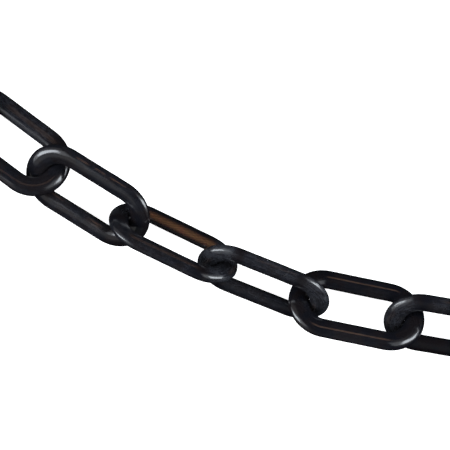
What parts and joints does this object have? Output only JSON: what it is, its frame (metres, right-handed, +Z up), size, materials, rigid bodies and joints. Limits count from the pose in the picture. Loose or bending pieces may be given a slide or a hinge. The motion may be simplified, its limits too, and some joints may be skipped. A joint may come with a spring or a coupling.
{
  "type": "length of blackened long-link chain",
  "caption": "Length of black long-link chain of oval wire, each link hooked through the next, lying in an open horseshoe.",
  "frame": {"origin": "on the floor, under the middle of the laid chain's outline", "axes": "+Z up; +X across the open horseshoe, +Y towards its open side"},
  "size_m": [0.4586, 0.3618, 0.0266],
  "materials": {
    "blackened_steel": "oil-blackened steel, rubbed bluish on the bends, bronze showing along some rails"
  },
  "bodies": {
    "link_01": {"link_01": "blackened_steel"},
    "link_02": {"link_02": "blackened_steel"},
    "link_03": {"link_03": "blackened_steel"},
    "link_04": {"link_04": "blackened_steel"},
    "link_05": {"link_05": "blackened_steel"},
    "link_06": {"link_06": "blackened_steel"},
    "link_07": {"link_07": "blackened_steel"},
    "link_08": {"link_08": "blackened_steel"},
    "link_09": {"link_09": "blackened_steel"},
    "link_10": {"link_10": "blackened_steel"},
    "link_11": {"link_11": "blackened_steel"},
    "link_12": {"link_12": "blackened_steel"},
    "link_13": {"link_13": "blackened_steel"},
    "link_14": {"link_14": "blackened_steel"},
    "link_15": {"link_15": "blackened_steel"},
    "link_16": {"link_16": "blackened_steel"},
    "link_17": {"link_17": "blackened_steel"},
    "link_18": {"link_18": "blackened_steel"},
    "link_19": {"link_19": "blackened_steel"},
    "link_20": {"link_20": "blackened_steel"},
    "link_21": {"link_21": "blackened_steel"},
    "link_22": {"link_22": "blackened_steel"},
    "link_23": {"link_23": "blackened_steel"},
    "link_24": {"link_24": "blackened_steel"},
    "link_25": {"link_25": "blackened_steel"}
  },
  "joints": [
    {"name": "swing_01", "type": "hinge", "parent": "link_02", "child": "link_01", "pos_m": [-0.10474, 0.16815, 0.01077], "axis": [-0.0493, 0.7054, 0.7071], "range_deg": [-70, 70]},
    {"name": "swing_02", "type": "hinge", "parent": "link_03", "child": "link_02", "pos_m": [-0.14213, 0.15587, 0.01201], "axis": [-0.2418, 0.6645, -0.7071], "range_deg": [-70, 70]},
    {"name": "swing_03", "type": "hinge", "parent": "link_04", "child": "link_03", "pos_m": [-0.1743, 0.13319, 0.01077], "axis": [0.4255, -0.5647, -0.7071], "range_deg": [-70, 70]},
    {"name": "swing_04", "type": "hinge", "parent": "link_05", "child": "link_04", "pos_m": [-0.19894, 0.10249, 0.01197], "axis": [0.5647, -0.4255, 0.7071], "range_deg": [-70, 70]},
    {"name": "swing_05", "type": "hinge", "parent": "link_06", "child": "link_05", "pos_m": [-0.21417, 0.06619, 0.01077], "axis": [-0.6601, 0.2534, 0.7071], "range_deg": [-70, 70]},
    {"name": "swing_06", "type": "hinge", "parent": "link_07", "child": "link_06", "pos_m": [-0.21884, 0.02712, 0.01201], "axis": [-0.7044, 0.0616, -0.7071], "range_deg": [-70, 70]},
    {"name": "swing_07", "type": "hinge", "parent": "link_08", "child": "link_07", "pos_m": [-0.21186, -0.01159, 0.01079], "axis": [0.6917, 0.147, -0.7071], "range_deg": [-70, 70]},
    {"name": "swing_08", "type": "hinge", "parent": "link_09", "child": "link_08", "pos_m": [-0.19388, -0.04657, 0.01133], "axis": [0.5905, 0.3149, 0.7431], "range_deg": [-70, 70]},
    {"name": "swing_09", "type": "hinge", "parent": "link_10", "child": "link_09", "pos_m": [-0.16844, -0.07573, 0.0085], "axis": [-0.3573, -0.3939, 0.8469], "range_deg": [-70, 70]},
    {"name": "swing_10", "type": "hinge", "parent": "link_11", "child": "link_10", "pos_m": [-0.13735, -0.09947, 0.01027], "axis": [-0.1633, -0.2846, -0.9446], "range_deg": [-70, 70]},
    {"name": "swing_11", "type": "hinge", "parent": "link_12", "child": "link_11", "pos_m": [-0.10418, -0.12064, 0.01277], "axis": [0.3454, 0.4436, -0.827], "range_deg": [-70, 70]},
    {"name": "swing_12", "type": "hinge", "parent": "link_13", "child": "link_12", "pos_m": [-0.06898, -0.13828, 0.01353], "axis": [0.3709, 0.7627, 0.5299], "range_deg": [-70, 70]},
    {"name": "swing_14", "type": "hinge", "parent": "link_13", "child": "link_14", "pos_m": [-0.02449, -0.15627, 0.01305], "axis": [0.1545, 0.5089, 0.8468], "range_deg": [-70, 70]},
    {"name": "swing_15", "type": "hinge", "parent": "link_14", "child": "link_15", "pos_m": [0.01413, -0.16395, 0.01061], "axis": [0.1273, 0.657, -0.7431], "range_deg": [-70, 70]},
    {"name": "swing_16", "type": "hinge", "parent": "link_15", "child": "link_16", "pos_m": [0.0531, -0.17012, 0.01183], "axis": [0.0247, -0.7067, -0.7071], "range_deg": [-70, 70]},
    {"name": "swing_17", "type": "hinge", "parent": "link_16", "child": "link_17", "pos_m": [0.09246, -0.1678, 0.01088], "axis": [0.183, -0.683, 0.7071], "range_deg": [-70, 70]},
    {"name": "swing_18", "type": "hinge", "parent": "link_17", "child": "link_18", "pos_m": [0.13025, -0.15662, 0.0119], "axis": [-0.3428, 0.6184, 0.7071], "range_deg": [-70, 70]},
    {"name": "swing_19", "type": "hinge", "parent": "link_18", "child": "link_19", "pos_m": [0.16415, -0.13658, 0.01081], "axis": [-0.4912, 0.5086, -0.7071], "range_deg": [-70, 70]},
    {"name": "swing_20", "type": "hinge", "parent": "link_19", "child": "link_20", "pos_m": [0.19165, -0.1084, 0.01197], "axis": [0.6124, -0.3536, -0.7071], "range_deg": [-70, 70]},
    {"name": "swing_21", "type": "hinge", "parent": "link_20", "child": "link_21", "pos_m": [0.21028, -0.07372, 0.01077], "axis": [0.6861, -0.1711, 0.7071], "range_deg": [-70, 70]},
    {"name": "swing_22", "type": "hinge", "parent": "link_21", "child": "link_22", "pos_m": [0.21863, -0.03526, 0.01197], "axis": [-0.7067, -0.0247, 0.7071], "range_deg": [-70, 70]},
    {"name": "swing_23", "type": "hinge", "parent": "link_22", "child": "link_23", "pos_m": [0.21605, 0.00402, 0.01077], "axis": [-0.6725, -0.2185, -0.7071], "range_deg": [-70, 70]},
    {"name": "swing_24", "type": "hinge", "parent": "link_23", "child": "link_24", "pos_m": [0.2027, 0.04105, 0.01201], "axis": [0.5792, 0.4056, -0.7071], "range_deg": [-70, 70]},
    {"name": "swing_25", "type": "hinge", "parent": "link_24", "child": "link_25", "pos_m": [0.17909, 0.07253, 0.01073], "axis": [0.4353, 0.5572, 0.7071], "range_deg": [-70, 70]}
  ]
}
